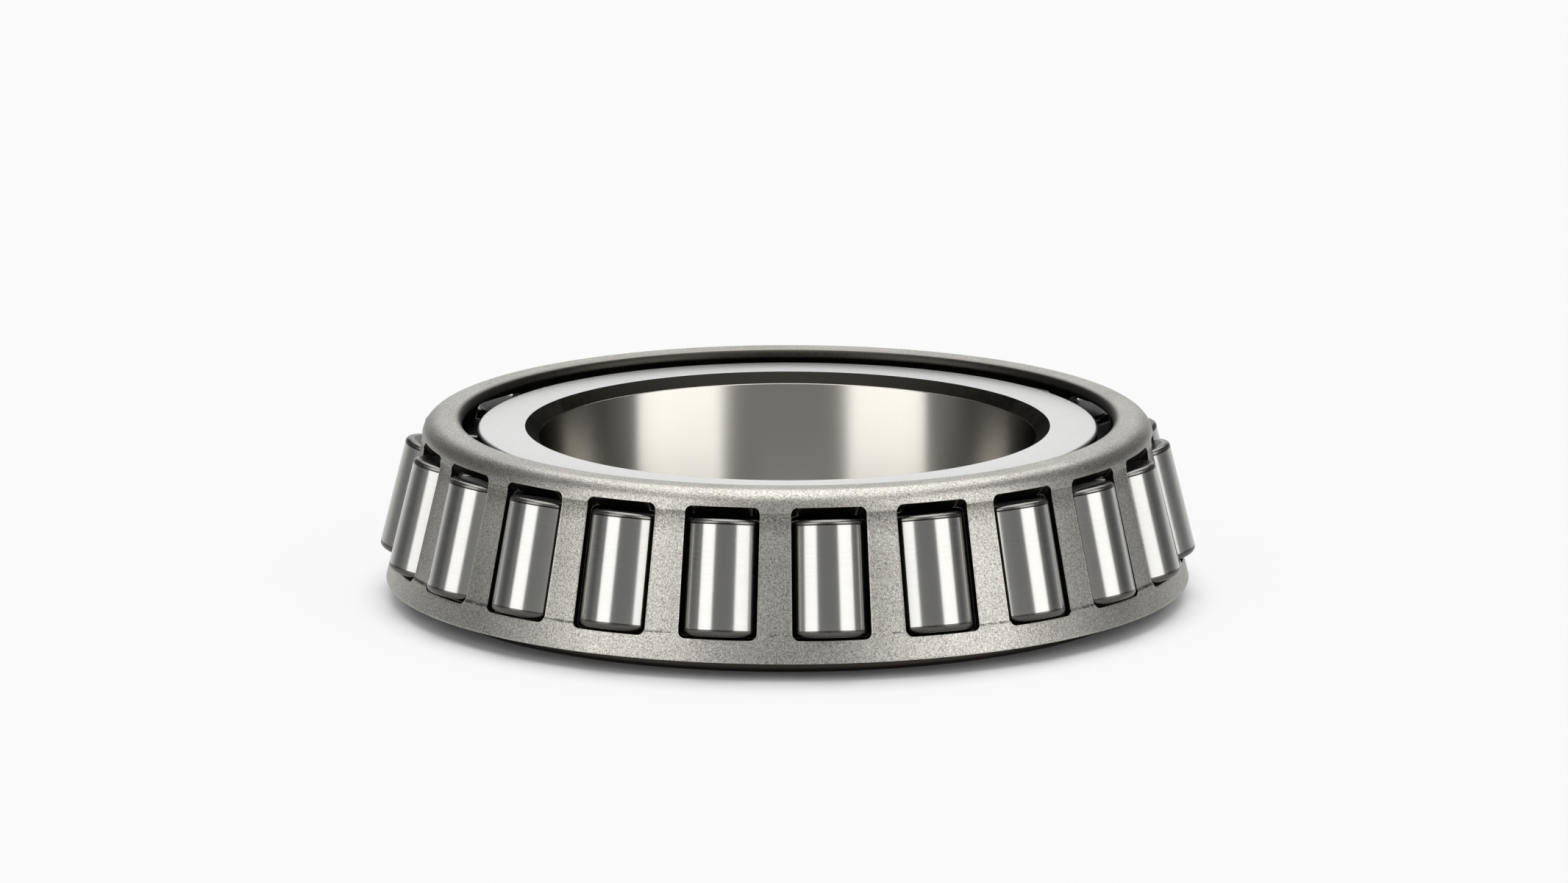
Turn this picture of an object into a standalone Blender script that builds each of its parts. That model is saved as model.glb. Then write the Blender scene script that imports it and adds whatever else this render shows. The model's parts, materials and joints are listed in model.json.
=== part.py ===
"""Inner ring assembly of a tapered roller bearing: a ground inner ring, a ring of tapered rollers
and the pressed sheet-steel cage that spaces them.

Metres and degrees, +Z up along the bearing axis. The origin is the centre of the inner ring's back
face, which the bearing stands on. The rollers' large ends point down, towards that face.

Every outline is drawn in a half section: a point is (distance from the axis, height, rounding).
"""

import math

import bmesh
import bpy
from mathutils import Matrix, Vector

# Inner ring
BORE_DIAMETER = 0.070
RING_WIDTH = 0.024
RING_WALL = 0.0112
RACE_ANGLE_DEG = 11.2
LARGE_RIB_WIDTH = 0.0035
LARGE_RIB_HEIGHT = 0.00485
SMALL_RIB_WIDTH = 0.0040
SMALL_RIB_HEIGHT = 0.0006
BORE_CHAMFER = 0.0019
BORE_CHAMFER_DEPTH = 0.0014
RIB_ROUNDING = 0.0007
FACE_ROUNDING = 0.0005
UNDERCUT_DEPTH = 0.0005
UNDERCUT_WIDTH = 0.0010

# Rollers
ROLLER_COUNT = 22
ROLLER_DIAMETER = 0.0117
ROLLER_LARGE_ROUNDING = 0.0008
ROLLER_SMALL_ROUNDING = 0.0006

# Cage
SHEET = 0.00145
ROLLER_STANDS_PROUD = 0.00195
CAGE_FOOT_HEIGHT = 0.0025
RIM_RISE = 0.0014
RIM_OPENING = 0.0022
SHOULDER_ROUNDING = 0.0028
WINDOW_SIDE_CLEARANCE = 0.0002
WINDOW_LARGE_END_CLEARANCE = 0.0004
WINDOW_SMALL_END_CLEARANCE = 0.00135
WINDOW_ROUNDING = 0.0010
WINDOW_CUT_MARGIN = 0.0011

# Clearances that let the rollers turn on the ring
RUNNING_GAP = 0.0003
SMALL_END_GAP = 0.0003

# Facets
FACETS_PER_PITCH = 4
ROLLER_FACETS = 24
CORNER_STEPS = 2
SHOULDER_STEPS = 4
WINDOW_CORNER_STEPS = 3

# The raceway and the rollers share one apex on the bearing axis, so the rollers roll without slipping.
RACE_ANGLE = math.radians(RACE_ANGLE_DEG)
RACE_RADIUS = BORE_DIAMETER / 2 + RING_WALL
TAPER_ANGLE = math.asin(ROLLER_DIAMETER / 2 * math.sin(RACE_ANGLE) / RACE_RADIUS)
AXIS_ANGLE = RACE_ANGLE + TAPER_ANGLE
OUTER_ANGLE = RACE_ANGLE + 2 * TAPER_ANGLE

# Directions in the half section: along a roller's axis to its small end, and out across it
ALONG = Vector((-math.sin(AXIS_ANGLE), math.cos(AXIS_ANGLE)))
ACROSS = Vector((math.cos(AXIS_ANGLE), math.sin(AXIS_ANGLE)))

# The roller fills the raceway between the two ribs.
RACE_FOOT = Vector((RACE_RADIUS, LARGE_RIB_WIDTH + RUNNING_GAP))
RACE_HEIGHT = RING_WIDTH - SMALL_RIB_WIDTH - SMALL_END_GAP - RACE_FOOT.y
ROLLER_LENGTH = RACE_HEIGHT * math.cos(TAPER_ANGLE) / math.cos(RACE_ANGLE)
ROLLER_LARGE_RADIUS = ROLLER_DIAMETER / 2
ROLLER_SMALL_RADIUS = ROLLER_LARGE_RADIUS - ROLLER_LENGTH * math.tan(TAPER_ANGLE)
ROLLER_FOOT = RACE_FOOT + ACROSS * ROLLER_LARGE_RADIUS

SMALL_RIB_RADIUS = RACE_RADIUS - RACE_HEIGHT * math.tan(RACE_ANGLE) + SMALL_RIB_HEIGHT


def race_radius_at(height):
    """The ground raceway's radius, a running gap inside the line that the rollers touch."""
    touched = RACE_RADIUS - (height - RACE_FOOT.y) * math.tan(RACE_ANGLE)
    return touched - RUNNING_GAP / math.cos(RACE_ANGLE)


def cage_radius_at(height, depth=0.0):
    """The radius of the cage's conical wall at a height, at a depth below its outer surface."""
    roller_edge = ROLLER_FOOT + ACROSS * ROLLER_LARGE_RADIUS
    touched = roller_edge.x - (height - roller_edge.y) * math.tan(OUTER_ANGLE)
    return touched - (ROLLER_STANDS_PROUD + depth) / math.cos(OUTER_ANGLE)


def roller_radius_at(distance):
    """A roller's radius at a distance from its large end."""
    return ROLLER_LARGE_RADIUS - distance * math.tan(TAPER_ANGLE)


def window_half_width_at(distance):
    """Half a window's width: the roller's chord at the sheet's inner side, and a clearance."""
    radius = roller_radius_at(distance)
    level = radius - ROLLER_STANDS_PROUD - SHEET
    return math.sqrt(radius**2 - level**2) + WINDOW_SIDE_CLEARANCE


def rounded(points, steps, closed=True):
    """The outline with each corner that states a rounding replaced by an arc of that radius."""
    outline = []
    last = len(points) - 1
    for i, (x, y, radius) in enumerate(points):
        corner = Vector((x, y))
        if not radius or (not closed and i in (0, last)):
            outline.append(corner)
            continue
        before = (Vector(points[i - 1][:2]) - corner).normalized()
        after = (Vector(points[(i + 1) % len(points)][:2]) - corner).normalized()
        half = before.angle(after) / 2
        centre = corner + (before + after).normalized() * (radius / math.sin(half))
        start = corner + before * (radius / math.tan(half)) - centre
        end = corner + after * (radius / math.tan(half)) - centre
        sweep = math.pi - 2 * half
        for k in range(steps + 1):
            share = k / steps
            arc = start * math.sin((1 - share) * sweep) + end * math.sin(share * sweep)
            outline.append(centre + arc / math.sin(sweep))
    return outline


def turned(name, outline, facets, closed=True):
    """A mesh turned about Z from a half section."""
    shape = bmesh.new()
    points = [shape.verts.new((p.x, 0, p.y)) for p in outline]
    pairs = list(zip(points, points[1:]))
    if closed:
        pairs.append((points[-1], points[0]))
    edges = [shape.edges.new(pair) for pair in pairs]
    bmesh.ops.spin(
        shape,
        geom=points + edges,
        axis=(0, 0, 1),
        cent=(0, 0, 0),
        angle=math.tau,
        steps=facets,
        use_merge=True,
    )
    bmesh.ops.remove_doubles(shape, verts=shape.verts, dist=1e-7)
    bmesh.ops.recalc_face_normals(shape, faces=shape.faces)
    mesh = bpy.data.meshes.new(name)
    shape.to_mesh(mesh)
    shape.free()
    mesh.shade_smooth()
    mesh.set_sharp_from_angle(angle=math.radians(25))
    return mesh


def placed(name, mesh, material=None):
    """A scene object for a mesh, with its material."""
    piece = bpy.data.objects.new(name, mesh)
    bpy.context.scene.collection.objects.link(piece)
    if material:
        mesh.materials.append(material)
    return piece


def steel(name, colour, roughness):
    """A bare steel finish."""
    material = bpy.data.materials.new(name)
    material.use_nodes = True
    shader = material.node_tree.nodes["Principled BSDF"]
    shader.inputs["Base Color"].default_value = (*colour, 1)
    shader.inputs["Metallic"].default_value = 1.0
    shader.inputs["Roughness"].default_value = roughness
    return material


def inner_ring_outline():
    """The inner ring from its bore, round the back face, both ribs and the raceway, to the front face."""
    bore = BORE_DIAMETER / 2
    rib_radius = RACE_RADIUS + LARGE_RIB_HEIGHT
    rib_slope = math.tan(AXIS_ANGLE)
    rib_top = LARGE_RIB_WIDTH + LARGE_RIB_HEIGHT * rib_slope

    low_groove = race_radius_at(LARGE_RIB_WIDTH) - UNDERCUT_DEPTH
    low_groove_foot = LARGE_RIB_WIDTH - (RACE_RADIUS - low_groove) * rib_slope
    low_groove_top = low_groove_foot + UNDERCUT_WIDTH

    rib_foot = RACE_FOOT.y + RACE_HEIGHT + SMALL_END_GAP
    high_groove = race_radius_at(rib_foot) - UNDERCUT_DEPTH
    high_groove_foot = rib_foot - UNDERCUT_WIDTH
    small_rib_top = rib_foot + (SMALL_RIB_RADIUS - high_groove) * rib_slope

    return [
        (bore, BORE_CHAMFER_DEPTH, 0),
        (bore + BORE_CHAMFER, 0, 0),
        (rib_radius, 0, RIB_ROUNDING),
        (rib_radius, rib_top, RIB_ROUNDING),
        (low_groove, low_groove_foot, 0),
        (low_groove, low_groove_top, 0),
        (race_radius_at(low_groove_top), low_groove_top, 0),
        (race_radius_at(high_groove_foot), high_groove_foot, 0),
        (high_groove, high_groove_foot, 0),
        (high_groove, rib_foot, 0),
        (SMALL_RIB_RADIUS, small_rib_top, FACE_ROUNDING),
        (SMALL_RIB_RADIUS, RING_WIDTH, FACE_ROUNDING),
        (bore + BORE_CHAMFER, RING_WIDTH, 0),
        (bore, RING_WIDTH - BORE_CHAMFER_DEPTH, 0),
    ]


def make_inner_ring(material):
    outline = rounded(inner_ring_outline(), CORNER_STEPS)
    mesh = turned("inner_ring", outline, ROLLER_COUNT * FACETS_PER_PITCH)
    return placed("inner_ring", mesh, material)


def cage_outline():
    """The sheet's section: a conical wall, a rounded shoulder and a rim turned in over the rollers."""
    rim_top = RING_WIDTH + RIM_RISE
    rim_underside = rim_top - SHEET
    rim_radius = SMALL_RIB_RADIUS + RIM_OPENING
    return [
        (cage_radius_at(CAGE_FOOT_HEIGHT), CAGE_FOOT_HEIGHT, 0),
        (cage_radius_at(rim_top), rim_top, SHOULDER_ROUNDING),
        (rim_radius, rim_top, 0),
        (rim_radius, rim_underside, 0),
        (cage_radius_at(rim_underside, SHEET), rim_underside, SHOULDER_ROUNDING - SHEET),
        (cage_radius_at(CAGE_FOOT_HEIGHT, SHEET), CAGE_FOOT_HEIGHT, 0),
    ]


def roller_place(index):
    """Where a roller stands: its origin at its large end, its own Z along its axis."""
    turn = Matrix.Rotation(math.tau * index / ROLLER_COUNT, 4, "Z")
    step_out = Matrix.Translation((ROLLER_FOOT.x, 0, ROLLER_FOOT.y))
    lean = Matrix.Rotation(-AXIS_ANGLE, 4, "Y")
    return turn @ step_out @ lean


def make_window_cutter():
    """One punch for each roller, through the cage's wall and square to the roller's axis."""
    low = -WINDOW_LARGE_END_CLEARANCE
    high = ROLLER_LENGTH + WINDOW_SMALL_END_CLEARANCE
    low_half, high_half = window_half_width_at(low), window_half_width_at(high)
    corners = [(-low_half, low), (low_half, low), (high_half, high), (-high_half, high)]
    outline = rounded([(x, y, WINDOW_ROUNDING) for x, y in corners], WINDOW_CORNER_STEPS)

    inside = ROLLER_SMALL_RADIUS - ROLLER_STANDS_PROUD - SHEET - WINDOW_CUT_MARGIN
    outside = ROLLER_LARGE_RADIUS + WINDOW_CUT_MARGIN
    shape = bmesh.new()
    for index in range(ROLLER_COUNT):
        place = roller_place(index)
        foot = [shape.verts.new(place @ Vector((inside, p.x, p.y))) for p in outline]
        face = shape.faces.new(foot)
        pushed = bmesh.ops.extrude_face_region(shape, geom=[face])["geom"]
        tops = [part for part in pushed if isinstance(part, bmesh.types.BMVert)]
        out = place.to_3x3() @ Vector((outside - inside, 0, 0))
        bmesh.ops.translate(shape, verts=tops, vec=out)
    bmesh.ops.recalc_face_normals(shape, faces=shape.faces)
    mesh = bpy.data.meshes.new("window_cutter")
    shape.to_mesh(mesh)
    shape.free()
    cutter = placed("window_cutter", mesh)
    cutter.hide_render = True
    cutter.display_type = "WIRE"
    return cutter


def make_cage(material):
    outline = rounded(cage_outline(), SHOULDER_STEPS)
    mesh = turned("cage", outline, ROLLER_COUNT * FACETS_PER_PITCH)
    cage = placed("cage", mesh, material)
    windows = cage.modifiers.new("windows", "BOOLEAN")
    windows.operation = "DIFFERENCE"
    windows.object = make_window_cutter()
    return cage


def make_rollers(material, cage):
    """One tapered roller for each window. They share a mesh and travel round with the cage."""
    corners = [
        (0, 0, 0),
        (ROLLER_LARGE_RADIUS, 0, ROLLER_LARGE_ROUNDING),
        (ROLLER_SMALL_RADIUS, ROLLER_LENGTH, ROLLER_SMALL_ROUNDING),
        (0, ROLLER_LENGTH, 0),
    ]
    outline = rounded(corners, CORNER_STEPS, closed=False)
    mesh = turned("roller", outline, ROLLER_FACETS, closed=False)
    mesh.materials.append(material)
    for index in range(ROLLER_COUNT):
        roller = placed(f"roller_{index + 1:02d}", mesh)
        roller.parent = cage
        roller.matrix_basis = roller_place(index)


def main():
    for old in list(bpy.data.objects):
        bpy.data.objects.remove(old)
    ground = steel("ground_steel", (0.66, 0.65, 0.63), 0.22)
    polished = steel("polished_steel", (0.62, 0.61, 0.60), 0.1)
    pressed = steel("pressed_steel", (0.36, 0.35, 0.33), 0.42)
    make_inner_ring(ground)
    cage = make_cage(pressed)
    make_rollers(polished, cage)


main()
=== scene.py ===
"""Looks of the bearing's inner ring assembly: finely turned ring and rollers, the pressed cage, their
steel finishes, and a plain pale studio. Metres, +Z up along the bearing axis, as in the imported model.
"""

import json
import math
from collections import namedtuple

import bpy
from mathutils import Matrix, Vector

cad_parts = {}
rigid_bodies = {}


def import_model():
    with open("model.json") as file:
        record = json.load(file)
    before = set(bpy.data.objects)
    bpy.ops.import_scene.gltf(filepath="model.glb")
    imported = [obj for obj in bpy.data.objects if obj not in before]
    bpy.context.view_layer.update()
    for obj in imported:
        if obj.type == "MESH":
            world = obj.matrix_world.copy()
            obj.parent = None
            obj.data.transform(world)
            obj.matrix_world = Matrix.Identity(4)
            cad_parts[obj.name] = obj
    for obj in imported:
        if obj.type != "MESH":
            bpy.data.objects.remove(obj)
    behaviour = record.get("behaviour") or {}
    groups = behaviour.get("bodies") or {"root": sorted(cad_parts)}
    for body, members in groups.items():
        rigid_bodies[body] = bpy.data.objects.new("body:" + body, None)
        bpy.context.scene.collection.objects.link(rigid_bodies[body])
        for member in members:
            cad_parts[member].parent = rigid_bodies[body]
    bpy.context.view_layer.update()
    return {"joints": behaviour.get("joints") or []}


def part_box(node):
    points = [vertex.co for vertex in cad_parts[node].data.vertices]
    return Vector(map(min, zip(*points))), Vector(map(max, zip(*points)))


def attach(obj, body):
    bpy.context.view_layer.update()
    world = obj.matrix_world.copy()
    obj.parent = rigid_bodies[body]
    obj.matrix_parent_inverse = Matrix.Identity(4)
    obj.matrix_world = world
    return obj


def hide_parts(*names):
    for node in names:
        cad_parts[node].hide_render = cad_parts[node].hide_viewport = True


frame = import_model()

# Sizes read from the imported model
RING_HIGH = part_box("inner_ring")[1]
CAGE_LOW, CAGE_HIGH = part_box("cage")
RING_WIDTH = RING_HIGH.z
RIB_RADIUS = RING_HIGH.x
CAGE_FOOT = CAGE_LOW.z
CAGE_TOP = CAGE_HIGH.z
CAGE_FOOT_RADIUS = CAGE_HIGH.x
ROLLER_JOINTS = [joint for joint in frame["joints"] if joint["parent"] == "cage"]
ROLLER_COUNT = len(ROLLER_JOINTS)
ROLLER_FOOT = Vector((Vector(ROLLER_JOINTS[0]["pos_m"][:2]).length, ROLLER_JOINTS[0]["pos_m"][2]))
AXIS_ANGLE = math.acos(ROLLER_JOINTS[0]["axis"][2])

# Inner ring
BORE_RADIUS = 0.035
BORE_CHAMFER = 0.0019
BORE_CHAMFER_DEPTH = 0.0014
LARGE_RIB_WIDTH = 0.0035
RACE_RADIUS = 0.0462
SMALL_RIB_WIDTH = 0.0040
SMALL_RIB_HEIGHT = 0.0006
UNDERCUT_DEPTH = 0.0005
UNDERCUT_WIDTH = 0.0010
RIB_ROUNDING = 0.0007
FACE_ROUNDING = 0.0005
EDGE_BREAK = 0.00015
RUNNING_GAP = 0.0003
SMALL_END_GAP = 0.0003
BORE_LAY_SLOPE = 0.28

# Rollers
ROLLER_RADIUS = 0.00585
ROLLER_LARGE_ROUNDING = 0.0008
ROLLER_SMALL_ROUNDING = 0.0006
ROLLER_DARK_END_STRIP = 0.00018
ROLLER_END_LAND = 0.0005

# Cage
SHEET = 0.00145
SHOULDER_ROUNDING = 0.0028
RIM_OPENING = 0.0022
RIM_ROUNDING = 0.0010
RIM_BLEND = 0.0002
ROLLER_STANDS_PROUD = 0.00195
WINDOW_SIDE_CLEARANCE = 0.0002
WINDOW_LARGE_END_CLEARANCE = 0.0004
WINDOW_SMALL_END_CLEARANCE = 0.00165
WINDOW_LEAN = 0.0011
WINDOW_ROUNDING = 0.0010
CAGE_EDGE_ROUNDING = 0.00022
BAR_RECESS = 0.00015
BAR_STEP = 0.00022
BAR_MARGIN_LARGE_END = 0.0006
BAR_MARGIN_SMALL_END = 0.0009
# Length of the painted shade under a bar's upper step
BAR_TOP_SHADE_LENGTH = 0.0032

# Fineness of the meshes
RING_FACETS = 352
ROLLER_FACETS = 96
CORNER_STEPS = 8
SHOULDER_STEPS = 14
RIM_STEPS = 8
WINDOW_CORNER_STEPS = 8
WINDOW_EDGE_COLUMNS = 10
BAR_ROWS = 26
CAGE_EDGE_SEGMENTS = 3
SHARP_FROM_DEG = 30

# Where the cage's rows lie from its cut foot (0) to the windows (1), and its columns across a bar (-1 to 1)
FOOT_SHARES = (0, 0.1, 0.3, 0.5, 0.7, 0.88)
BAR_SHARES = (-1, -0.86, -0.6, -0.3, 0, 0.3, 0.6, 0.86, 1)

# Camera, as the photo was taken
CAMERA_AZIMUTH_DEG = 1.85
CAMERA_ELEVATION_DEG = 12.03
CAMERA_DISTANCE = 1.8196
CAMERA_AIM_HEIGHT = 0.0216
CAMERA_LENS = 296.74
SENSOR_WIDTH = 36.0
CAMERA_SHIFT_X = -0.00225

# Two upright softboxes beside the camera and one overhead; brightness 1 looks white
STRIP_ELEVATION_DEG = 24
STRIP_DISTANCE = 2.0
STRIP_HEIGHT = 1.7
STRIP_BRIGHTNESS = 2.3
LEFT_STRIP_AZIMUTH_DEG = -49.5
LEFT_STRIP_WIDTH = 1.38
RIGHT_STRIP_AZIMUTH_DEG = 54
RIGHT_STRIP_WIDTH = 1.55
OVERHEAD_PLACE = Vector((0.03, 0.45, 1.6))
OVERHEAD_WIDTH = 1.6
OVERHEAD_DEPTH = 2.4
OVERHEAD_BRIGHTNESS = 2.6

# The room: its even light, and its grey in reflections from behind the camera (0) to the backdrop (1)
WORLD_LIGHT = 0.55
BACKDROP_WHITE = 1.0
BACKDROP_ELEVATION_DEG = 5
ROOM_GREYS = ((0.42, 0.32), (0.55, 0.1), (0.945, 0.1), (0.991, BACKDROP_WHITE))

# The floor: pale by the object, where it keeps the object's shadow, and a painted white glow further off that
# cuts the shadow short, sooner at the sides
FLOOR_SIZE = 12.0
FLOOR_COLOUR = 0.6
FLOOR_ROUGHNESS = 0.9
FLOOR_WHITE = 0.957
SHADOW_START = 0.0005
SHADOW_END = 0.0098
SHADOW_FAINTEST = 0.12
SHADOW_SIDES = 1.07

# Most of a noise's values lie between these two
NOISE_LOW = 0.3
NOISE_HIGH = 0.7

# The raceway and the rollers share one apex, so their cone angles follow from one roller.
TAPER_ANGLE = math.atan(ROLLER_RADIUS * math.sin(AXIS_ANGLE) / ROLLER_FOOT.x)
RACE_ANGLE = AXIS_ANGLE - TAPER_ANGLE
OUTER_ANGLE = AXIS_ANGLE + TAPER_ANGLE
ROLLER_UP = Vector((-math.sin(AXIS_ANGLE), math.cos(AXIS_ANGLE)))
ROLLER_OUT = Vector((math.cos(AXIS_ANGLE), math.sin(AXIS_ANGLE)))
WALL_UP = Vector((-math.sin(OUTER_ANGLE), math.cos(OUTER_ANGLE)))
WALL_OUT = Vector((math.cos(OUTER_ANGLE), math.sin(OUTER_ANGLE)))
RACE_FOOT_HEIGHT = LARGE_RIB_WIDTH + RUNNING_GAP
RACE_HEIGHT = RING_WIDTH - SMALL_RIB_WIDTH - SMALL_END_GAP - RACE_FOOT_HEIGHT
SMALL_RIB_RADIUS = RACE_RADIUS - RACE_HEIGHT * math.tan(RACE_ANGLE) + SMALL_RIB_HEIGHT
ROLLER_LENGTH = RACE_HEIGHT * math.cos(TAPER_ANGLE) / math.cos(RACE_ANGLE)
PITCH = math.tau / ROLLER_COUNT

# Distances along a roller from its large end
WINDOW_LOW = -WINDOW_LARGE_END_CLEARANCE
WINDOW_HIGH = ROLLER_LENGTH + WINDOW_SMALL_END_CLEARANCE
BAR_LOW_STEP = WINDOW_LOW + BAR_MARGIN_LARGE_END
BAR_HIGH_STEP = WINDOW_HIGH - BAR_MARGIN_SMALL_END


def race_radius_at(height):
    """The ground raceway's radius, a running gap inside the line that the rollers touch."""
    touched = RACE_RADIUS - (height - RACE_FOOT_HEIGHT) * math.tan(RACE_ANGLE)
    return touched - RUNNING_GAP / math.cos(RACE_ANGLE)


def roller_radius_at(distance):
    return ROLLER_RADIUS - distance * math.tan(TAPER_ANGLE)


def wall_point(distance, depth):
    """A point of the cage's conical wall, at a distance along a roller and a depth under its outer face."""
    start = ROLLER_FOOT + ROLLER_OUT * ROLLER_RADIUS - WALL_OUT * (ROLLER_STANDS_PROUD + depth)
    along_wall = (distance - (start - ROLLER_FOOT).dot(ROLLER_UP)) / WALL_UP.dot(ROLLER_UP)
    return start + WALL_UP * along_wall


def mixed(a, b, share):
    return a + (b - a) * share


def smooth(low, high, value):
    """0 below low, 1 above high, and an even ease between."""
    share = min(1.0, max(0.0, (value - low) / (high - low)))
    return share * share * (3 - 2 * share)


def rounded(points, steps):
    """Corners (x, y, rounding, finish) as points ((x, y), finish), each rounding made an arc."""
    outline = []
    for i, (x, y, radius, finish) in enumerate(points):
        corner = Vector((x, y))
        if not radius:
            outline.append((corner, finish))
            continue
        before = (Vector(points[i - 1][:2]) - corner).normalized()
        after = (Vector(points[(i + 1) % len(points)][:2]) - corner).normalized()
        half = before.angle(after) / 2
        centre = corner + (before + after).normalized() * (radius / math.sin(half))
        start = corner + before * (radius / math.tan(half)) - centre
        end = corner + after * (radius / math.tan(half)) - centre
        sweep = math.pi - 2 * half
        for k in range(steps + 1):
            share = k / steps
            arc = start * math.sin((1 - share) * sweep) + end * math.sin(share * sweep)
            outline.append((centre + arc / math.sin(sweep), finish))
    return outline


def turned_about_axis(p, turn):
    """A point (radius, height) of a half section, turned about the bearing axis."""
    return p.x * math.cos(turn), p.x * math.sin(turn), p.y


def smooth_mesh(name, points, faces, finishes, materials):
    """A smoothly shaded mesh, each face with the material that its finish counts to."""
    mesh = bpy.data.meshes.new(name)
    mesh.from_pydata(points, [], faces)
    for material in materials:
        mesh.materials.append(material)
    mesh.polygons.foreach_set("material_index", finishes)
    mesh.shade_smooth()
    return mesh


def turned(name, outline, facets, materials, closed):
    """A piece turned about Z. Each stretch of the outline has the finish of the point it starts at."""
    rings = len(outline)
    points = []
    for k in range(facets):
        points += [turned_about_axis(p, math.tau * k / facets) for p, _ in outline]
    faces, finishes = [], []
    for k in range(facets):
        here, there = k * rings, (k + 1) % facets * rings
        for j in range(rings if closed else rings - 1):
            after = (j + 1) % rings
            faces.append((here + j, there + j, there + after, here + after))
            finishes.append(outline[j][1])
    if not closed:
        faces.append(tuple(k * rings for k in reversed(range(facets))))
        faces.append(tuple(k * rings + rings - 1 for k in range(facets)))
        finishes += [outline[0][1], outline[-1][1]]
    mesh = smooth_mesh(name, points, faces, finishes, materials)
    mesh.set_sharp_from_angle(angle=math.radians(SHARP_FROM_DEG))
    return mesh


def placed(name, data):
    """A scene object for a mesh, lamp or camera."""
    piece = bpy.data.objects.new(name, data)
    bpy.context.scene.collection.objects.link(piece)
    return piece


def grey(level):
    return level, level, level, 1


class Nodes:
    """A node tree and short ways to wire it."""

    def __init__(self, tree):
        self.tree = tree

    def put(self, source, socket):
        """Links a socket to another node's output, or sets it to a plain value."""
        if isinstance(source, bpy.types.NodeSocket):
            self.tree.links.new(source, socket)
        else:
            socket.default_value = source

    def add(self, kind, inputs=None, **settings):
        """A node with its settings and inputs made."""
        made = self.tree.nodes.new(kind)
        for key, value in settings.items():
            setattr(made, key, value)
        for socket, source in (inputs or {}).items():
            self.put(source, made.inputs[socket])
        return made

    def math(self, operation, first, second):
        return self.add("ShaderNodeMath", {0: first, 1: second}, operation=operation).outputs["Value"]

    def mixed(self, share, none, full):
        return self.add("ShaderNodeMix", {"Factor": share, "A": none, "B": full}).outputs["Result"]

    def ranged(self, source, low, high, to_low=0, to_high=1, **settings):
        """A value between low and high, brought to lie between two others."""
        limits = {"From Min": low, "From Max": high, "To Min": to_low, "To Max": to_high}
        return self.add("ShaderNodeMapRange", {"Value": source, **limits}, **settings).outputs["Result"]

    def stretched(self, vector, scale):
        """Coordinates scaled by axis."""
        return self.add("ShaderNodeMapping", {"Vector": vector, "Scale": scale}).outputs["Vector"]

    def length(self, vector):
        return self.add("ShaderNodeVectorMath", {0: vector}, operation="LENGTH").outputs["Value"]


class Finish(Nodes):
    """A steel material. Its plain colour and roughness are what a viewer without the nodes shows."""

    def __init__(self, name, colour, roughness, anisotropy=0.0):
        self.material = bpy.data.materials.new(name)
        self.material.use_nodes = True
        super().__init__(self.material.node_tree)
        self.shader = self.tree.nodes["Principled BSDF"]
        self.feed("Base Color", (*colour, 1))
        self.feed("Metallic", 1.0)
        self.feed("Roughness", roughness)
        self.feed("Anisotropic", anisotropy)
        self.place = self.add("ShaderNodeTexCoord").outputs["Object"]

    def feed(self, socket, source):
        self.put(source, self.shader.inputs[socket])

    def height(self):
        return self.add("ShaderNodeSeparateXYZ", {"Vector": self.place}).outputs["Z"]

    def noise(self, scale, detail=2.0):
        """Noise with so many cells to a metre."""
        inputs = {"Vector": self.place, "Scale": scale, "Detail": detail}
        return self.add("ShaderNodeTexNoise", inputs).outputs["Fac"]

    def marks_round(self, cells_across, cells_along):
        """Noise drawn out round the piece, with many more cells along its axis than across it."""
        vector = self.stretched(self.place, (cells_across, cells_across, cells_along))
        return self.add("ShaderNodeTexNoise", {"Vector": vector, "Scale": 1.0}).outputs["Fac"]

    def varied(self, noise, low, high):
        """A value between two, by a noise."""
        return self.ranged(noise, NOISE_LOW, NOISE_HIGH, low, high)

    def tint(self, share, dark, light):
        """A colour between two, by a share from 0 to 1."""
        ramp = self.add("ShaderNodeValToRGB", {"Fac": share})
        ramp.color_ramp.elements[0].color = (*dark, 1)
        ramp.color_ramp.elements[1].color = (*light, 1)
        return ramp.outputs["Color"]

    def bump(self, height, distance):
        return self.add("ShaderNodeBump", {"Height": height, "Distance": distance}).outputs["Normal"]

    def gloss_along_axis(self):
        """Grinding marks run round the piece, so the gloss stretches along its axis."""
        tangent = self.add("ShaderNodeTangent", direction_type="RADIAL", axis="Z")
        self.feed("Tangent", tangent.outputs["Tangent"])
        self.feed("Anisotropic Rotation", 0.25)


def ground_face_steel():
    """A face ground flat: pale satin with faint rings of the wheel's lay."""
    finish = Finish("ground_face_steel", (0.72, 0.72, 0.712), 0.28)
    radius = finish.length(finish.stretched(finish.place, (1, 1, 0)))
    rings = {"W": radius, "Scale": 16000, "Detail": 3}
    lay = finish.add("ShaderNodeTexNoise", rings, noise_dimensions="1D").outputs["Fac"]
    finish.feed("Roughness", finish.varied(lay, 0.26, 0.3))
    finish.feed("Normal", finish.bump(lay, 0.000002))
    finish.feed("Base Color", finish.tint(finish.noise(60), (0.7, 0.7, 0.693), (0.74, 0.74, 0.732)))
    return finish.material


def bore_steel():
    """The bore and raceway: ground, warm grey, with fine marks running round that lean to the front face."""
    finish = Finish("bore_steel", (0.44, 0.424, 0.389), 0.245, anisotropy=0.9)
    finish.gloss_along_axis()
    finish.feed("Specular Tint", (0.05, 0.045, 0.035, 1))
    finish.feed("Roughness", finish.varied(finish.marks_round(4, 26000), 0.235, 0.255))
    finish.feed("Normal", finish.bump(finish.height(), -BORE_LAY_SLOPE))
    finish.feed("Base Color", finish.tint(finish.noise(80), (0.425, 0.409, 0.375), (0.455, 0.439, 0.403)))
    return finish.material


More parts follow.
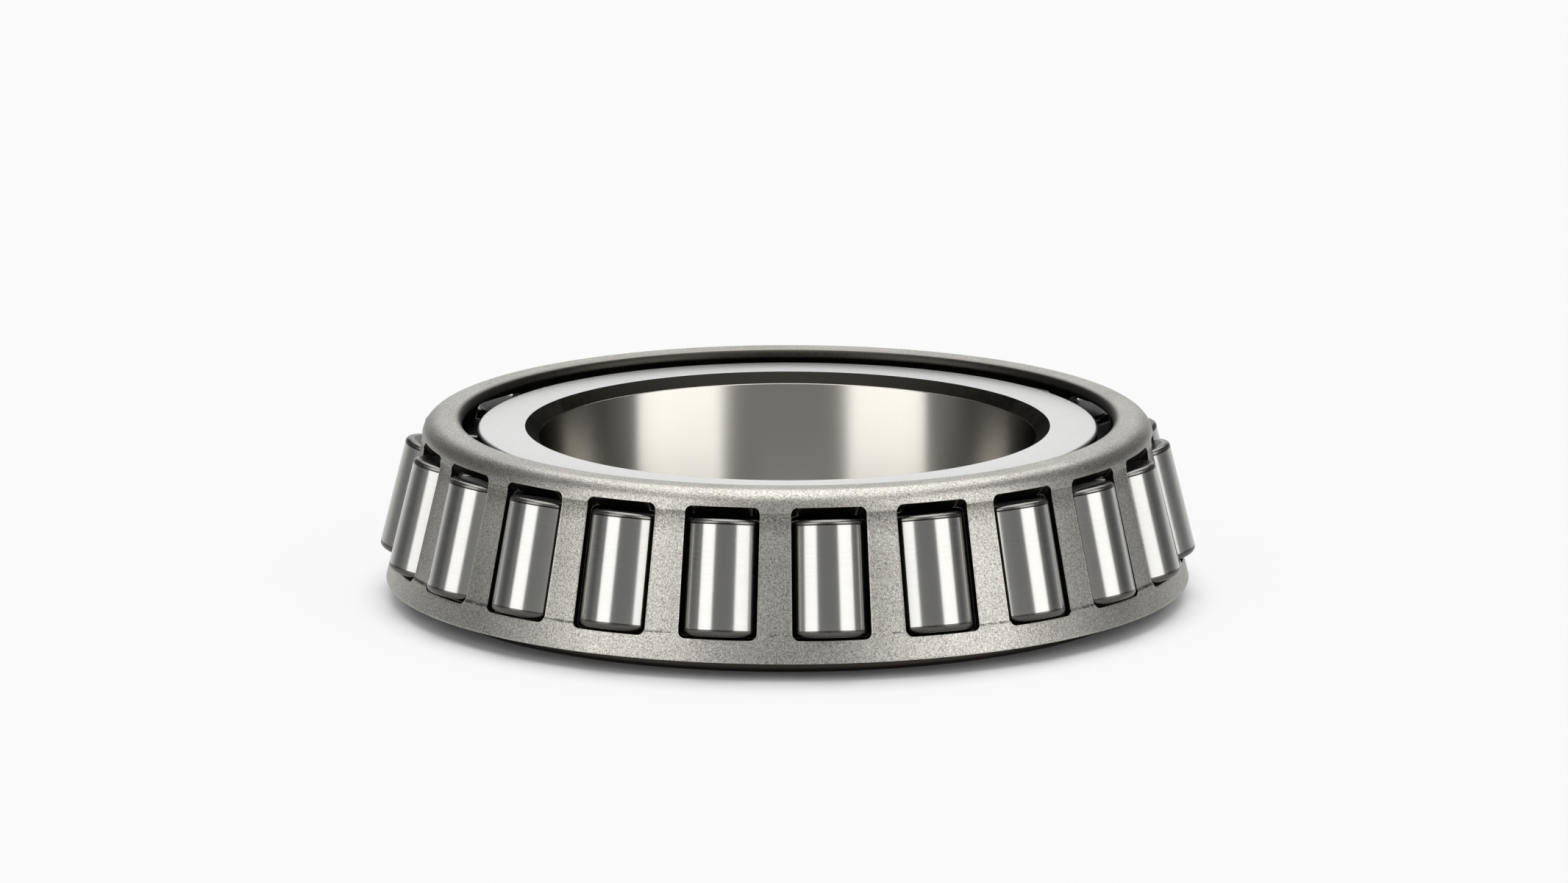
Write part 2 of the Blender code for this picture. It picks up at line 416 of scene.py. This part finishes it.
def scale_steel():
    """Chamfers and grooves left as hardened: nearly black, dull and slightly mottled."""
    finish = Finish("scale_steel", (0.02, 0.0195, 0.017), 0.46)
    finish.feed("Specular Tint", grey(0.35))
    blotch = finish.noise(900, 4)
    finish.feed("Base Color", finish.tint(blotch, (0.013, 0.0125, 0.011), (0.027, 0.026, 0.0225)))
    finish.feed("Roughness", finish.varied(blotch, 0.4, 0.52))
    finish.feed("Normal", finish.bump(blotch, 0.000006))
    return finish.material


def rib_steel():
    """The rib's rim: turned and hardened, dark brown-grey with rings left by the tool."""
    finish = Finish("rib_steel", (0.107, 0.096, 0.083), 0.36)
    rings = finish.marks_round(20, 6000)
    finish.feed("Base Color", finish.tint(rings, (0.082, 0.073, 0.063), (0.132, 0.119, 0.103)))
    finish.feed("Roughness", finish.varied(rings, 0.3, 0.42))
    finish.feed("Normal", finish.bump(rings, 0.000003))
    return finish.material


def roller_steel():
    """Rolling surfaces: superfinished close to a mirror, with the faintest marks round the roller."""
    finish = Finish("roller_steel", (0.39, 0.385, 0.366), 0.2, anisotropy=0.5)
    finish.gloss_along_axis()
    finish.feed("Roughness", finish.varied(finish.marks_round(30, 7000), 0.17, 0.23))
    finish.feed("Base Color", finish.tint(finish.noise(150), (0.38, 0.375, 0.356), (0.41, 0.405, 0.386)))
    return finish.material


def roller_corner_steel(name, dark, light):
    """A roller's rounded corners and large end, tumbled and mottled between two colours."""
    finish = Finish(name, light, 0.28)
    marks = finish.noise(2500, 3)
    finish.feed("Roughness", finish.varied(marks, 0.22, 0.34))
    finish.feed("Base Color", finish.tint(marks, dark, light))
    finish.feed("Normal", finish.bump(marks, 0.000002))
    return finish.material


def roller_painted_shade_steel():
    """A roller's small end face and a strip under its small corner, near-black: painted shade for the shaded
    gap under the cage's rim, and a painted dark reflection under the corner.
    """
    finish = Finish("roller_painted_shade_steel", (0.035, 0.033, 0.03), 0.32)
    marks = finish.noise(2500, 3)
    finish.feed("Base Color", finish.tint(marks, (0.025, 0.0235, 0.021), (0.045, 0.0425, 0.039)))
    finish.feed("Roughness", finish.varied(marks, 0.28, 0.38))
    return finish.material


def painted_shade_under_bar_top(finish):
    """Painted shade: how much darker a bar is for a stretch under its upper step."""
    step = wall_point(BAR_HIGH_STEP, 0).y
    under = finish.ranged(finish.height(), step - BAR_TOP_SHADE_LENGTH, step, 0, 0.2)
    over = finish.ranged(finish.height(), step, step + BAR_STEP, 1, 0)
    return finish.math("MULTIPLY", under, over)


def painted_shadow_along_bar_foot(finish):
    """Painted shadow: how much darker a bar is along its lower step, in patches."""
    step = wall_point(BAR_LOW_STEP, 0).y
    rise = finish.ranged(finish.height(), step - BAR_STEP / 2, step)
    fall = finish.ranged(finish.height(), step + BAR_STEP / 2, step + BAR_STEP * 1.5, 1, 0)
    patches = finish.ranged(finish.noise(1200), 0.42, 0.68, 0, 0.34)
    return finish.math("MULTIPLY", finish.math("MULTIPLY", rise, fall), patches)


def cage_steel():
    """Pressed sheet, tumbled: warm grey with a fine sparkling grain, with painted shade under the bars' tops
    and a painted shadow along their feet.
    """
    finish = Finish("cage_steel", (0.38, 0.365, 0.325), 0.36)
    cloud = finish.ranged(finish.noise(90, 3), 0, 1, -0.1, 0.1)
    tone = finish.math("ADD", finish.noise(4500, 4), cloud)
    # Painted shade under the bars' top steps, then a painted shadow line along their feet
    tone = finish.math("SUBTRACT", tone, painted_shade_under_bar_top(finish))
    tone = finish.math("SUBTRACT", tone, painted_shadow_along_bar_foot(finish))
    share = finish.ranged(tone, 0.255, 0.745)
    finish.feed("Base Color", finish.tint(share, (0.162, 0.156, 0.138), (0.615, 0.6, 0.55)))
    grain = finish.noise(5200)
    finish.feed("Roughness", finish.varied(grain, 0.36, 0.47))
    finish.feed("Normal", finish.bump(grain, 0.000024))
    return finish.material


def cage_sheared_painted_shade_steel():
    """The punched window walls and cut foot: torn by the punch, and near-black as painted shade, since they
    lie in shade inside the windows and under the foot.
    """
    finish = Finish("cage_sheared_painted_shade_steel", (0.032, 0.029, 0.025), 0.42)
    streaks = finish.noise(1800, 3)
    finish.feed("Base Color", finish.tint(streaks, (0.018, 0.016, 0.013), (0.046, 0.042, 0.037)))
    finish.feed("Roughness", finish.varied(streaks, 0.36, 0.5))
    finish.feed("Normal", finish.bump(streaks, 0.00001))
    return finish.material


def cage_inside_painted_shade_steel():
    """The sheet's inner side: unpolished, and dark brown as painted shade for the inside of the cage."""
    finish = Finish("cage_inside_painted_shade_steel", (0.055, 0.05, 0.041), 0.45)
    stains = finish.noise(1500, 3)
    finish.feed("Base Color", finish.tint(stains, (0.035, 0.031, 0.025), (0.075, 0.069, 0.058)))
    finish.feed("Roughness", finish.varied(stains, 0.38, 0.55))
    finish.feed("Normal", finish.bump(stains, 0.00001))
    return finish.material


def cage_rim_painted_shade_steel():
    """The rim's rolled edge: tumbled like the skin at the very top, then near-black towards the inside as
    painted shade.
    """
    finish = Finish("cage_rim_painted_shade_steel", (0.02, 0.018, 0.015), 0.42)
    stains = finish.noise(2500, 3)
    # Painted shade: the colour falls to near-black below the rim's very top
    rise = finish.ranged(finish.height(), CAGE_TOP - RIM_BLEND, CAGE_TOP, 0, 0.9)
    share = finish.math("ADD", rise, finish.ranged(stains, 0, 1, 0, 0.1))
    finish.feed("Base Color", finish.tint(share, (0.026, 0.024, 0.02), (0.36, 0.346, 0.309)))
    finish.feed("Roughness", finish.varied(stains, 0.36, 0.5))
    finish.feed("Normal", finish.bump(stains, 0.000008))
    return finish.material


def cage_edge_wear_and_highlight_steel():
    """The broken edges round the windows and the foot: worn by tumbling, and brighter than the skin as a
    painted highlight on their rounding.
    """
    finish = Finish("cage_edge_wear_and_highlight_steel", (0.54, 0.525, 0.485), 0.42)
    dents = finish.noise(4000, 3)
    finish.feed("Base Color", finish.tint(dents, (0.38, 0.368, 0.338), (0.7, 0.683, 0.635)))
    finish.feed("Roughness", finish.varied(dents, 0.38, 0.48))
    finish.feed("Normal", finish.bump(dents, 0.00001))
    return finish.material


FACE, BORE, SCALE, RIB = range(4)


def inner_ring_corners():
    """The ring's half section, with the finish of the stretch that follows each corner."""
    rib_slope = math.tan(AXIS_ANGLE)
    rib_top = LARGE_RIB_WIDTH + (RIB_RADIUS - RACE_RADIUS) * rib_slope
    low_groove = race_radius_at(LARGE_RIB_WIDTH) - UNDERCUT_DEPTH
    low_groove_foot = LARGE_RIB_WIDTH - (RACE_RADIUS - low_groove) * rib_slope
    low_groove_top = low_groove_foot + UNDERCUT_WIDTH
    rib_foot = RACE_FOOT_HEIGHT + RACE_HEIGHT + SMALL_END_GAP
    high_groove = race_radius_at(rib_foot) - UNDERCUT_DEPTH
    high_groove_foot = rib_foot - UNDERCUT_WIDTH
    small_rib_top = rib_foot + (SMALL_RIB_RADIUS - high_groove) * rib_slope
    chamfered = BORE_RADIUS + BORE_CHAMFER
    return [
        (BORE_RADIUS, BORE_CHAMFER_DEPTH, EDGE_BREAK, SCALE),
        (chamfered, 0, EDGE_BREAK, FACE),
        (RIB_RADIUS, 0, RIB_ROUNDING, RIB),
        (RIB_RADIUS, rib_top, RIB_ROUNDING, BORE),
        (low_groove, low_groove_foot, 0, SCALE),
        (low_groove, low_groove_top, 0, SCALE),
        (race_radius_at(low_groove_top), low_groove_top, 0, BORE),
        (race_radius_at(high_groove_foot), high_groove_foot, 0, SCALE),
        (high_groove, high_groove_foot, 0, SCALE),
        (high_groove, rib_foot, 0, BORE),
        (SMALL_RIB_RADIUS, small_rib_top, FACE_ROUNDING, SCALE),
        (SMALL_RIB_RADIUS, RING_WIDTH, FACE_ROUNDING, FACE),
        (chamfered, RING_WIDTH, EDGE_BREAK, SCALE),
        (BORE_RADIUS, RING_WIDTH - BORE_CHAMFER_DEPTH, EDGE_BREAK, BORE),
    ]


def make_inner_ring():
    materials = [ground_face_steel(), bore_steel(), scale_steel(), rib_steel()]
    outline = rounded(inner_ring_corners(), CORNER_STEPS)
    ring = placed("turned_inner_ring", turned("turned_inner_ring", outline, RING_FACETS, materials, True))
    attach(ring, "inner_ring")
    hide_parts("inner_ring")


SIDE, LARGE_END, SMALL_CORNER, PAINTED_SHADE = range(4)


def roller_corners():
    """A roller's half section from the large end: ground side, tumbled corners, and a small end in near-black
    painted shade.
    """
    side_low = ROLLER_LARGE_ROUNDING + ROLLER_DARK_END_STRIP
    side_high = ROLLER_LENGTH - ROLLER_SMALL_ROUNDING - ROLLER_DARK_END_STRIP
    small_radius = roller_radius_at(ROLLER_LENGTH)
    end_face = small_radius - ROLLER_SMALL_ROUNDING - ROLLER_END_LAND
    return [
        (ROLLER_SMALL_ROUNDING, 0, 0, LARGE_END),
        (ROLLER_RADIUS, 0, ROLLER_LARGE_ROUNDING, LARGE_END),
        (roller_radius_at(side_low), side_low, 0, SIDE),
        # The strip under the small corner and the small end face are painted shade
        (roller_radius_at(side_high), side_high, 0, PAINTED_SHADE),
        (small_radius, ROLLER_LENGTH, ROLLER_SMALL_ROUNDING, SMALL_CORNER),
        (end_face, ROLLER_LENGTH, 0, PAINTED_SHADE),
        (ROLLER_SMALL_ROUNDING, ROLLER_LENGTH, 0, PAINTED_SHADE),
    ]


def make_rollers():
    """One turned roller for all, placed on each joint."""
    large_end = roller_corner_steel("roller_large_end_steel", (0.075, 0.072, 0.066), (0.12, 0.116, 0.107))
    small_corner = roller_corner_steel("roller_small_corner_steel", (0.16, 0.155, 0.145), (0.23, 0.224, 0.21))
    materials = [roller_steel(), large_end, small_corner, roller_painted_shade_steel()]
    outline = rounded(roller_corners(), CORNER_STEPS)
    mesh = turned("tapered_roller", outline, ROLLER_FACETS, materials, False)
    for joint in ROLLER_JOINTS:
        name = joint["child"]
        foot = Vector(joint["pos_m"])
        turn = Matrix.Rotation(math.atan2(foot.y, foot.x), 4, "Z")
        lean = Matrix.Rotation(-AXIS_ANGLE, 4, "Y")
        roller = placed(f"turned_{name}", mesh)
        roller.matrix_world = Matrix.Translation(foot) @ turn @ lean
        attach(roller, name)
        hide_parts(name)


def window_half_width(distance):
    """Half a window's straight width: the roller's chord inside the sheet, and a clearance."""
    radius = roller_radius_at(distance)
    level = radius - ROLLER_STANDS_PROUD - SHEET
    return math.sqrt(radius**2 - level**2) + WINDOW_SIDE_CLEARANCE


def share_of_window(distance):
    return (distance - WINDOW_LOW) / (WINDOW_HIGH - WINDOW_LOW)


def window_rows():
    """(distance along the roller, half width) of each row of the cage that a window interrupts."""
    low_half, high_half = window_half_width(WINDOW_LOW), window_half_width(WINDOW_HIGH)
    low_end, high_end = WINDOW_LOW + WINDOW_ROUNDING, WINDOW_HIGH - WINDOW_ROUNDING

    def half_at(distance):
        return mixed(low_half, high_half, share_of_window(distance))

    def corner(end, step):
        """A row of a rounded corner, so many steps of its arc up (or down, below 0) from the sides' end."""
        angle = math.pi / 2 * step / WINDOW_CORNER_STEPS
        inset = WINDOW_ROUNDING * (1 - math.cos(angle))
        return end + WINDOW_ROUNDING * math.sin(angle), half_at(end) - inset

    rows = [corner(low_end, step) for step in range(-WINDOW_CORNER_STEPS, 0)]
    for k in range(BAR_ROWS + 1):
        distance = mixed(low_end, high_end, k / BAR_ROWS)
        rows.append((distance, half_at(distance)))
    return rows + [corner(high_end, step) for step in range(1, WINDOW_CORNER_STEPS + 1)]


SKIN, SHEARED, INSIDE, RIM, EDGE = range(5)
Row = namedtuple("Row", "outer inner half in_window distance finish", defaults=(False, None, SKIN))


def foot_rows(half):
    """The rows below the windows, from the cut foot up."""
    foot_inside = CAGE_FOOT_RADIUS - SHEET / math.cos(OUTER_ANGLE)
    feet = Vector((CAGE_FOOT_RADIUS, CAGE_FOOT)), Vector((foot_inside, CAGE_FOOT))
    ends = wall_point(WINDOW_LOW, 0), wall_point(WINDOW_LOW, SHEET)
    return [Row(*(mixed(a, b, share) for a, b in zip(feet, ends)), half) for share in FOOT_SHARES]


def wall_rows(windows):
    """The rows that the windows interrupt. Their top walls lean: the sheet's inner side is cut lower."""
    rows = []
    last = len(windows) - 1
    for k, (distance, half) in enumerate(windows):
        inner = wall_point(distance - WINDOW_LEAN * share_of_window(distance), SHEET)
        rows.append(Row(wall_point(distance, 0), inner, half, 0 < k < last, distance))
    return rows


def shoulder_rows(half):
    """The rows over the windows: the rounded shoulder, the flat top and the rolled edge of the rim."""
    wall_end = wall_point(WINDOW_HIGH, 0)
    centre_height = CAGE_TOP - SHOULDER_ROUNDING
    wall_radius = wall_end.x - (centre_height - wall_end.y) * math.tan(OUTER_ANGLE)
    centre = Vector((wall_radius - SHOULDER_ROUNDING / math.cos(OUTER_ANGLE), centre_height))
    rows = []
    for k in range(SHOULDER_STEPS + 1):
        angle = mixed(OUTER_ANGLE, math.pi / 2, k / SHOULDER_STEPS)
        out = Vector((math.cos(angle), math.sin(angle)))
        outer = centre + out * SHOULDER_ROUNDING
        rows.append(Row(outer, outer - out * SHEET, half))
    flat_end = SMALL_RIB_RADIUS + RIM_OPENING + RIM_ROUNDING
    middle = Vector((mixed(centre.x, flat_end, 0.5), CAGE_TOP))
    rows.append(Row(middle, middle - Vector((0, SHEET)), half))
    for k in range(RIM_STEPS + 1):
        angle = math.pi / 2 * k / RIM_STEPS
        radius = flat_end - RIM_ROUNDING * math.sin(angle)
        outer = Vector((radius, CAGE_TOP - RIM_ROUNDING * (1 - math.cos(angle))))
        rows.append(Row(outer, Vector((radius, CAGE_TOP - SHEET)), half, finish=RIM))
    return rows


def cage_rows():
    """The cage's section from foot to rim, in rows of an outer point, an inner point and half a window."""
    windows = window_rows()
    low_half, high_half = windows[0][1], windows[-1][1]
    return foot_rows(low_half) + wall_rows(windows) + shoulder_rows(high_half)


def bar_recess(distance):
    """How far the bar's pressed face lies below the wall, at a distance along the roller."""
    low = smooth(BAR_LOW_STEP, BAR_LOW_STEP + BAR_STEP, distance)
    high = smooth(BAR_HIGH_STEP - BAR_STEP, BAR_HIGH_STEP, distance)
    return BAR_RECESS * low * (1 - high)


# Columns of the cage's mesh: those of a bar, then those across the window that follows it
LAST_BAR_COLUMN = len(BAR_SHARES) - 1
PITCH_COLUMNS = LAST_BAR_COLUMN + WINDOW_EDGE_COLUMNS
CAGE_COLUMNS = PITCH_COLUMNS * ROLLER_COUNT


def cage_points(rows):
    """The sheet's points, and each one's number by its row, side (0 outer, 1 inner) and column."""
    points, number = [], {}

    def add(row, side, column, p, turn):
        number[row, side, column] = len(points)
        points.append(turned_about_axis(p, turn))

    for row, section in enumerate(rows):
        recess = WALL_OUT * (0 if section.distance is None else bar_recess(section.distance))
        for side, p in enumerate((section.outer, section.inner)):
            window_turn = math.asin(section.half / p.x)
            bar_turn = PITCH / 2 - window_turn
            pressed = p if side else p - recess
            for k in range(ROLLER_COUNT):
                start = k * PITCH_COLUMNS
                for c, share in enumerate(BAR_SHARES):
                    add(row, side, start + c, pressed, (k + 0.5) * PITCH + share * bar_turn)
                if section.in_window:
                    continue
                for c in range(1, WINDOW_EDGE_COLUMNS):
                    share = 2 * c / WINDOW_EDGE_COLUMNS - 1
                    column = start + LAST_BAR_COLUMN + c
                    add(row, side, column, pressed, (k + 1) * PITCH + share * window_turn)
    return points, number


def cage_faces(rows, number):
    """The sheet's faces with their finishes, and the edges where a cut wall meets its two sides."""
    faces, finishes, cut_edges = [], [], set()
    top = len(rows) - 1
    in_window = [row for row, section in enumerate(rows) if section.in_window]
    first, last = in_window[0] - 1, in_window[-1] + 1

    def after(column):
        return (column + 1) % CAGE_COLUMNS

    def wall(a, b, flip, finish=SHEARED):
        """A strip of the sheet's cut edge, between two neighbours (row, column)."""
        strip = [number[a[0], 0, a[1]], number[b[0], 0, b[1]], number[b[0], 1, b[1]], number[a[0], 1, a[1]]]
        faces.append(strip[::-1] if flip else strip)
        finishes.append(finish)
        if finish == SHEARED:
            cut_edges.update((frozenset(strip[:2]), frozenset(strip[2:])))

    for row in range(top):
        for column in range(CAGE_COLUMNS):
            in_bar = column % PITCH_COLUMNS < LAST_BAR_COLUMN
            if not in_bar and first <= row < last:
                continue
            for side in (0, 1):
                quad = [number[row, side, column], number[row, side, after(column)]]
                quad += [number[row + 1, side, after(column)], number[row + 1, side, column]]
                faces.append(quad[::-1] if side else quad)
                finishes.append(INSIDE if side else rows[row].finish)
    for column in range(CAGE_COLUMNS):
        wall((0, column), (0, after(column)), True)
        wall((top, column), (top, after(column)), False, RIM)
    for k in range(ROLLER_COUNT):
        start = k * PITCH_COLUMNS
        end = start + LAST_BAR_COLUMN
        for row in range(first, last):
            wall((row, start), (row + 1, start), True)
            wall((row, end), (row + 1, end), False)
        for column in range(end, end + WINDOW_EDGE_COLUMNS):
            wall((first, column), (first, after(column)), False)
            wall((last, column), (last, after(column)), True)
    return faces, finishes, cut_edges


def make_cage():
    """The sheet as one closed mesh: rows up its section, with columns on each bar and across each window."""
    rows = cage_rows()
    points, number = cage_points(rows)
    faces, finishes, cut_edges = cage_faces(rows, number)
    materials = cage_steel(), cage_sheared_painted_shade_steel(), cage_inside_painted_shade_steel(), cage_rim_painted_shade_steel(), cage_edge_wear_and_highlight_steel()
    mesh = smooth_mesh("pressed_cage", points, faces, finishes, materials)
    weights = mesh.attributes.new("bevel_weight_edge", "FLOAT", "EDGE")
    weights.data.foreach_set("value", [float(frozenset(edge.vertices) in cut_edges) for edge in mesh.edges])
    cage = placed("pressed_cage", mesh)
    broken = cage.modifiers.new("broken_edges", "BEVEL")
    broken.limit_method = "WEIGHT"
    broken.width = CAGE_EDGE_ROUNDING
    broken.segments = CAGE_EDGE_SEGMENTS
    broken.material = EDGE
    even = cage.modifiers.new("even_shading", "WEIGHTED_NORMAL")
    even.keep_sharp = False
    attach(cage, "cage")
    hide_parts("cage")


def floor_paint():
    """Pale paint by the object, which keeps its shadow, and plain white to the eye further off: a painted
    glow that paints out the shadow's outer part.
    """
    material = bpy.data.materials.new("pale_floor")
    material.use_nodes = True
    nodes = Nodes(material.node_tree)
    paint = nodes.tree.nodes["Principled BSDF"]
    paint.inputs["Base Color"].default_value = grey(FLOOR_COLOUR)
    paint.inputs["Roughness"].default_value = FLOOR_ROUGHNESS
    paint.inputs["Specular IOR Level"].default_value = 0.0
    # Painted light: a white glow for seen rays that grows with distance from the object and paints out its
    # shadow
    white = nodes.add("ShaderNodeEmission", {"Color": grey(FLOOR_WHITE)})
    place = nodes.add("ShaderNodeTexCoord").outputs["Object"]
    away = nodes.length(nodes.stretched(place, (SHADOW_SIDES, 1, 1)))
    start, end = CAGE_FOOT_RADIUS + SHADOW_START, CAGE_FOOT_RADIUS + SHADOW_END
    painted_glow_share = nodes.ranged(away, start, end, 0, 1 - SHADOW_FAINTEST, interpolation_type="SMOOTHSTEP")
    ray = nodes.add("ShaderNodeLightPath").outputs
    seen = nodes.math("MAXIMUM", ray["Is Camera Ray"], ray["Is Glossy Ray"])
    seen = nodes.math("MAXIMUM", seen, ray["Is Transmission Ray"])
    share = nodes.math("MULTIPLY", painted_glow_share, seen)
    halves = {"Fac": share, 1: paint.outputs["BSDF"], 2: white.outputs["Emission"]}
    surface = nodes.add("ShaderNodeMixShader", halves)
    nodes.put(surface.outputs["Shader"], nodes.tree.nodes["Material Output"].inputs["Surface"])
    return material


def make_floor():
    half = FLOOR_SIZE / 2
    corners = [(-half, -half, 0), (half, -half, 0), (half, half, 0), (-half, half, 0)]
    mesh = bpy.data.meshes.new("floor")
    mesh.from_pydata(corners, [], [(0, 1, 2, 3)])
    mesh.materials.append(floor_paint())
    placed("floor", mesh)


def around_camera(azimuth, elevation, distance):
    """A point at an azimuth from the camera's side, counted to the camera's right."""
    turn = math.radians(CAMERA_AZIMUTH_DEG + azimuth)
    rise = math.radians(elevation)
    flat = Vector((math.sin(turn), -math.cos(turn), 0)) * math.cos(rise)
    return (flat + Vector((0, 0, math.sin(rise)))) * distance


def aimed(piece, place, aim):
    """Puts a lamp or camera at a place, looking at a point."""
    piece.location = place
    piece.rotation_euler = (aim - place).to_track_quat("-Z", "Y").to_euler()


def softbox(name, place, width, height, brightness):
    """A rectangular lamp whose face looks as bright as a white surface times brightness."""
    lamp = bpy.data.lights.new(name, "AREA")
    lamp.shape = "RECTANGLE"
    lamp.size = width
    lamp.size_y = height
    lamp.energy = brightness * math.pi * width * height
    light = placed(name, lamp)
    aimed(light, place, Vector((0, 0, RING_WIDTH / 2)))
    light.visible_camera = False


def make_lights():
    strips = {
        "left_strip": (LEFT_STRIP_AZIMUTH_DEG, LEFT_STRIP_WIDTH),
        "right_strip": (RIGHT_STRIP_AZIMUTH_DEG, RIGHT_STRIP_WIDTH),
    }
    for name, (azimuth, width) in strips.items():
        place = around_camera(azimuth, STRIP_ELEVATION_DEG, STRIP_DISTANCE)
        softbox(name, place, width, STRIP_HEIGHT, STRIP_BRIGHTNESS)
    softbox("overhead", OVERHEAD_PLACE, OVERHEAD_WIDTH, OVERHEAD_DEPTH, OVERHEAD_BRIGHTNESS)


def make_world():
    """White to the camera; in reflections a grey room behind the camera and a white backdrop beyond."""
    world = bpy.data.worlds.new("studio")
    world.use_nodes = True
    bpy.context.scene.world = world
    nodes = Nodes(world.node_tree)
    direction = nodes.add("ShaderNodeTexCoord").outputs["Generated"]
    backdrop = around_camera(180, BACKDROP_ELEVATION_DEG, 1)
    facing = nodes.add("ShaderNodeVectorMath", {0: direction, 1: backdrop}, operation="DOT_PRODUCT")
    room = nodes.add("ShaderNodeValToRGB", {"Fac": nodes.ranged(facing.outputs["Value"], -1, 1)})
    stops = room.color_ramp.elements
    while len(stops) < len(ROOM_GREYS):
        stops.new(1)
    for stop, (position, level) in zip(stops, ROOM_GREYS):
        stop.position = position
        stop.color = grey(level)
    ray = nodes.add("ShaderNodeLightPath").outputs
    level = nodes.mixed(ray["Is Glossy Ray"], WORLD_LIGHT, room.outputs["Color"])
    seen = nodes.math("MAXIMUM", ray["Is Camera Ray"], ray["Is Transmission Ray"])
    background = nodes.tree.nodes["Background"]
    background.inputs["Color"].default_value = grey(1)
    nodes.put(nodes.mixed(seen, level, BACKDROP_WHITE), background.inputs["Strength"])


def make_camera():
    data = bpy.data.cameras.new("camera")
    data.sensor_width = SENSOR_WIDTH
    data.lens = CAMERA_LENS
    data.shift_x = CAMERA_SHIFT_X
    camera = placed("camera", data)
    aim = Vector((0, 0, CAMERA_AIM_HEIGHT))
    aimed(camera, aim + around_camera(0, CAMERA_ELEVATION_DEG, CAMERA_DISTANCE), aim)
    bpy.context.scene.camera = camera


def main():
    make_inner_ring()
    make_rollers()
    make_cage()
    make_floor()
    make_lights()
    make_world()
    make_camera()
    bpy.context.scene.view_settings.view_transform = "Standard"


main()
